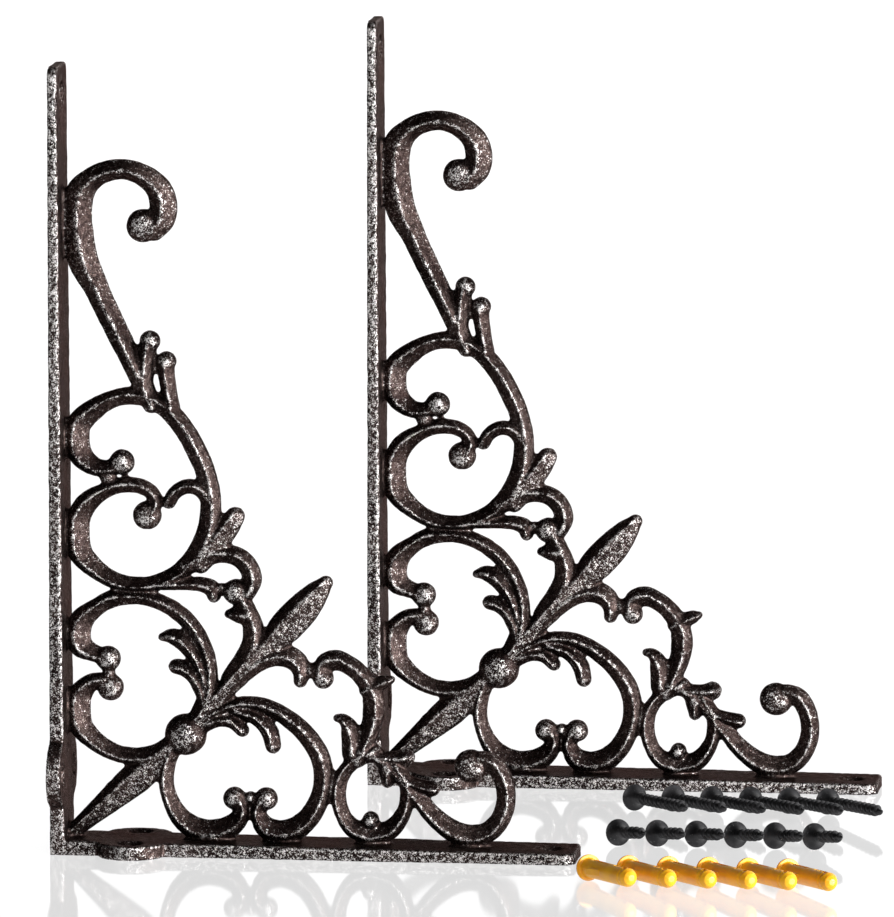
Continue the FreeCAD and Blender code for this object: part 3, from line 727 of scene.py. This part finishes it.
class Nodes:
    """A short way to write a material's node tree."""

    def __init__(self, name):
        self.material = bpy.data.materials.new(name)
        self.material.use_nodes = True
        self.tree = self.material.node_tree
        self.shader = self.tree.nodes["Principled BSDF"]
        self.place = self.add("ShaderNodeTexCoord").outputs["Object"]

    def add(self, kind, **values):
        node = self.tree.nodes.new(kind)
        for key, value in values.items():
            setattr(node, key, value)
        return node

    def link(self, output, entry):
        self.tree.links.new(output, entry)

    def noise(self, scale, detail=3.0, rough=0.55):
        node = self.add("ShaderNodeTexNoise")
        node.inputs["Scale"].default_value = scale
        node.inputs["Detail"].default_value = detail
        node.inputs["Roughness"].default_value = rough
        self.link(self.place, node.inputs["Vector"])
        return node.outputs["Fac"]

    def attribute(self, name):
        return self.add("ShaderNodeAttribute", attribute_name=name).outputs["Fac"]

    def math(self, operation, a, b):
        node = self.add("ShaderNodeMath", operation=operation)
        for entry, value in zip(node.inputs, (a, b)):
            if isinstance(value, (int, float)):
                entry.default_value = value
            else:
                self.link(value, entry)
        return node.outputs[0]

    def spread(self, value, low, high, to_low=0.0, to_high=1.0):
        node = self.add("ShaderNodeMapRange", interpolation_type="SMOOTHSTEP")
        self.link(value, node.inputs["Value"])
        for key, number in (("From Min", low), ("From Max", high), ("To Min", to_low), ("To Max", to_high)):
            node.inputs[key].default_value = number
        return node.outputs["Result"]

    def blend(self, factor, a, b):
        node = self.add("ShaderNodeMix", data_type="RGBA")
        for entry, value in ((node.inputs[0], factor), (node.inputs[6], a), (node.inputs[7], b)):
            if isinstance(value, (int, float)):
                entry.default_value = value
            elif isinstance(value, tuple):
                entry.default_value = (*value, 1.0)
            else:
                self.link(value, entry)
        return node.outputs[2]

    def bump(self, height, strength, distance):
        node = self.add("ShaderNodeBump")
        node.inputs["Strength"].default_value = strength
        node.inputs["Distance"].default_value = distance
        self.link(height, node.inputs["Height"])
        return node.outputs["Normal"]

    def set(self, **values):
        for key, value in values.items():
            entry = self.shader.inputs[key.replace("_", " ")]
            if isinstance(value, tuple):
                entry.default_value = (*value, 1.0)
            elif isinstance(value, (int, float)):
                entry.default_value = value
            else:
                self.link(value, entry)
        return self.material


def iron():
    """Sand-cast iron: a brown-black skin over metal that shows silver where it has been rubbed."""
    n = Nodes("cast_iron")
    rub = n.attribute("rub")
    flank = n.attribute("flank")
    patches = n.noise(60.0, 4.0)
    pebble = n.noise(760.0, 2.0, 0.6)
    fine = n.noise(2600.0, 2.0, 0.7)
    skin = n.blend(n.spread(patches, 0.35, 0.68), (0.032, 0.021, 0.019), (0.104, 0.074, 0.067))
    grain = n.math("ADD", n.math("MULTIPLY", pebble, 0.35), n.math("MULTIPLY", fine, 0.65))
    skin = n.blend(n.spread(grain, 0.42, 0.56), n.blend(0.88, skin, (0.006, 0.004, 0.004)), skin)
    high = n.math("ADD", n.spread(rub, 0.0, 0.35, 0.0, 0.085), n.spread(flank, 0.75, 0.98, 0.0, 0.067))
    worn = n.spread(n.math("ADD", grain, high), 0.605, 0.665)
    colour = n.blend(worn, skin, (0.74, 0.715, 0.705))
    height = n.math("ADD", n.math("MULTIPLY", pebble, 0.55), n.math("MULTIPLY", fine, 0.45))
    n.shader.inputs["Metallic"].default_value = 0.95
    n.shader.inputs["Specular Tint"].default_value = (0.3, 0.2, 0.175, 1.0)
    return n.set(
        Base_Color=colour,
        Roughness=n.math("ADD", n.math("MULTIPLY", worn, -0.06), n.spread(patches, 0.3, 0.7, 0.34, 0.43)),
        Normal=n.bump(height, 1.0, 0.0005),
    )


def phosphate():
    """Black phosphated steel, worn a little grey where it has rubbed."""
    n = Nodes("black_screw")
    grain = n.noise(1500.0, 3.0)
    patches = n.noise(220.0, 3.0)
    colour = n.blend(n.spread(patches, 0.35, 0.75), (0.022, 0.022, 0.024), (0.06, 0.058, 0.061))
    colour = n.blend(n.spread(grain, 0.62, 0.78), colour, (0.2, 0.2, 0.205))
    return n.set(
        Base_Color=colour,
        Metallic=0.7,
        Roughness=n.spread(patches, 0.3, 0.7, 0.32, 0.5),
        Normal=n.bump(grain, 0.35, 0.0001),
    )


def nylon():
    """Yellow moulded nylon."""
    n = Nodes("plug_nylon")
    grain = n.noise(1400.0, 2.0)
    patches = n.noise(160.0, 3.0)
    colour = n.blend(n.spread(patches, 0.3, 0.7), (0.86, 0.37, 0.006), (0.98, 0.48, 0.012))
    n.shader.inputs["Subsurface Weight"].default_value = 0.15
    n.shader.inputs["Subsurface Radius"].default_value = (0.002, 0.001, 0.0004)
    return n.set(
        Base_Color=colour,
        Roughness=n.spread(patches, 0.3, 0.7, 0.34, 0.48),
        Normal=n.bump(grain, 0.15, 0.0001),
    )


def floor_material():
    """A white glossy table that glows, so that everything on it is lit from below as well."""
    n = Nodes("floor")
    n.shader.inputs["Emission Color"].default_value = (1.0, 1.0, 1.0, 1.0)
    n.shader.inputs["Emission Strength"].default_value = 0.64
    n.shader.inputs["IOR"].default_value = 1.36
    return n.set(Base_Color=(0.22, 0.22, 0.22), Roughness=0.06)


# ---------------------------------------------------------------------------
# Pieces
# ---------------------------------------------------------------------------


def make_brackets(material):
    low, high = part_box("bracket_front")
    low_rear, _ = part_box("bracket_rear")
    corner = np.array([low[0], (low[1] + high[1]) / 2, low[2]])
    mesh = casting_mesh(np.array(low), np.array(high), corner)
    mesh.materials.append(material)
    places = {"bracket_front": Vector((0, 0, 0)), "bracket_rear": Vector(low_rear) - Vector(low)}
    for name, place in places.items():
        obj = new_object(f"{name}_casting", mesh)
        obj.location = place
        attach(obj, name)
        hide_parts(name)


def lay_row(mesh, kind, material, start, rests, rolls):
    """Six copies of a fastener that points down -Z, each laid where its CAD node lies.

    rests are the two rounds that it lies on, the larger near its mouth: (radius, distance from Z = 0).
    """
    (mouth_r, mouth_at), (tip_r, tip_at) = rests
    lean = math.atan((mouth_r - tip_r) / (tip_at - mouth_at))
    rise = mouth_r * math.cos(lean) + mouth_at * math.sin(lean)
    low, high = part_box("bracket_front")
    corner = Vector((low[0], (low[1] + high[1]) / 2, low[2]))
    flat = Matrix.Rotation(-math.pi / 2 - lean, 4, "Y")
    turn = Matrix.Rotation(-math.radians(ROW_TURN), 4, "Z")
    mesh.materials.append(material)
    for index in range(ROW_COUNT):
        place = corner + Vector((start[0] + ROW_PITCH * index, start[1], rise)) * MM
        roll = Matrix.Rotation(rolls[index], 4, "Z")
        node = f"{kind}_{index + 1}"
        copy = mesh.copy()
        copy.transform(Matrix.Translation(place) @ turn @ flat @ roll)
        obj = new_object(f"{node}_look", copy)
        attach(obj, f"{kind}s")
        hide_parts(node)


def make_fasteners(black, yellow):
    rolls = RANDOM.uniform(0, 2 * math.pi, (2, ROW_COUNT))
    rows = (
        ("wall_screw", WALL_SCREW_LENGTH, WALL_SCREW_START, rolls[0]),
        ("shelf_screw", SHELF_SCREW_LENGTH, SHELF_SCREW_START, rolls[1]),
    )
    for kind, length, start, turns in rows:
        rests = (HEAD_R, HEAD_RIM), (THREAD_R, length - POINT)
        lay_row(screw_mesh(length, kind), kind, black, start, rests, turns)
    rests = (PLUG_FLANGE_R, PLUG_FLANGE_T), (PLUG_R, PLUG_LENGTH - PLUG_DOME)
    lay_row(plug_mesh("wall_plug"), "wall_plug", yellow, PLUG_START, rests, [0.0] * ROW_COUNT)


# ---------------------------------------------------------------------------
# Stage
# ---------------------------------------------------------------------------


def make_floor():
    shape = Shape()
    size = 6.0
    corners = [(-size, -size, 0), (size, -size, 0), (size, size, 0), (-size, size, 0)]
    shape.add(corners, [(0, 1, 2, 3)])
    obj = new_object("floor", shape.mesh("floor"))
    obj.data.materials.append(floor_material())


def area_light(name, place, aim, size, power):
    data = bpy.data.lights.new(name, "AREA")
    data.shape = "RECTANGLE"
    data.size, data.size_y = size
    data.energy = power
    obj = bpy.data.objects.new(name, data)
    bpy.context.scene.collection.objects.link(obj)
    obj.location = place
    obj.rotation_euler = (Vector(aim) - Vector(place)).to_track_quat("-Z", "Y").to_euler()


def make_light():
    """A white studio that is brightest low on the right and behind, and dark above on the left."""
    world = bpy.data.worlds.new("studio")
    bpy.context.scene.world = world
    world.use_nodes = True
    tree = world.node_tree
    background = tree.nodes["Background"]
    background.inputs["Color"].default_value = (1.0, 1.0, 1.0, 1.0)
    place = tree.nodes.new("ShaderNodeTexCoord")
    toward = tree.nodes.new("ShaderNodeVectorMath")
    toward.operation = "DOT_PRODUCT"
    toward.inputs[1].default_value = (0.62, 0.62, -0.48)
    tree.links.new(place.outputs["Generated"], toward.inputs[0])
    strength = tree.nodes.new("ShaderNodeMapRange")
    strength.interpolation_type = "SMOOTHSTEP"
    for key, number in (("From Min", -0.25), ("From Max", 0.6), ("To Min", 0.05), ("To Max", 1.0)):
        strength.inputs[key].default_value = number
    tree.links.new(toward.outputs["Value"], strength.inputs["Value"])
    tree.links.new(strength.outputs["Result"], background.inputs["Strength"])
    middle = (0.0, 0.0, 0.1)
    area_light("key", (1.9, -0.9, 0.25), middle, (0.6, 0.5), 80.0)
    area_light("front", (0.6, -2.3, 1.25), middle, (0.9, 0.5), 18.0)


def make_camera():
    low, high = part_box("bracket_front")
    turn, rise = math.radians(CAMERA_TURN), math.radians(CAMERA_RISE)
    target = Vector((low[0] + CAMERA_AIM[0] * MM, (low[1] + high[1]) / 2, CAMERA_AIM[1] * MM))
    away = Vector((math.sin(turn) * math.cos(rise), -math.cos(turn) * math.cos(rise), math.sin(rise)))
    data = bpy.data.cameras.new("camera")
    data.sensor_fit = "HORIZONTAL"
    data.sensor_width = 36.0
    data.lens = CAMERA_LENS
    data.clip_end = 50.0
    obj = bpy.data.objects.new("camera", data)
    bpy.context.scene.collection.objects.link(obj)
    obj.location = target + away * CAMERA_DISTANCE
    obj.rotation_euler = (-away).to_track_quat("-Z", "Y").to_euler()
    bpy.context.scene.camera = obj


bpy.context.scene.view_settings.view_transform = "Standard"
make_brackets(iron())
make_fasteners(phosphate(), nylon())
make_floor()
make_light()
make_camera()

bpy.context.view_layer.update()
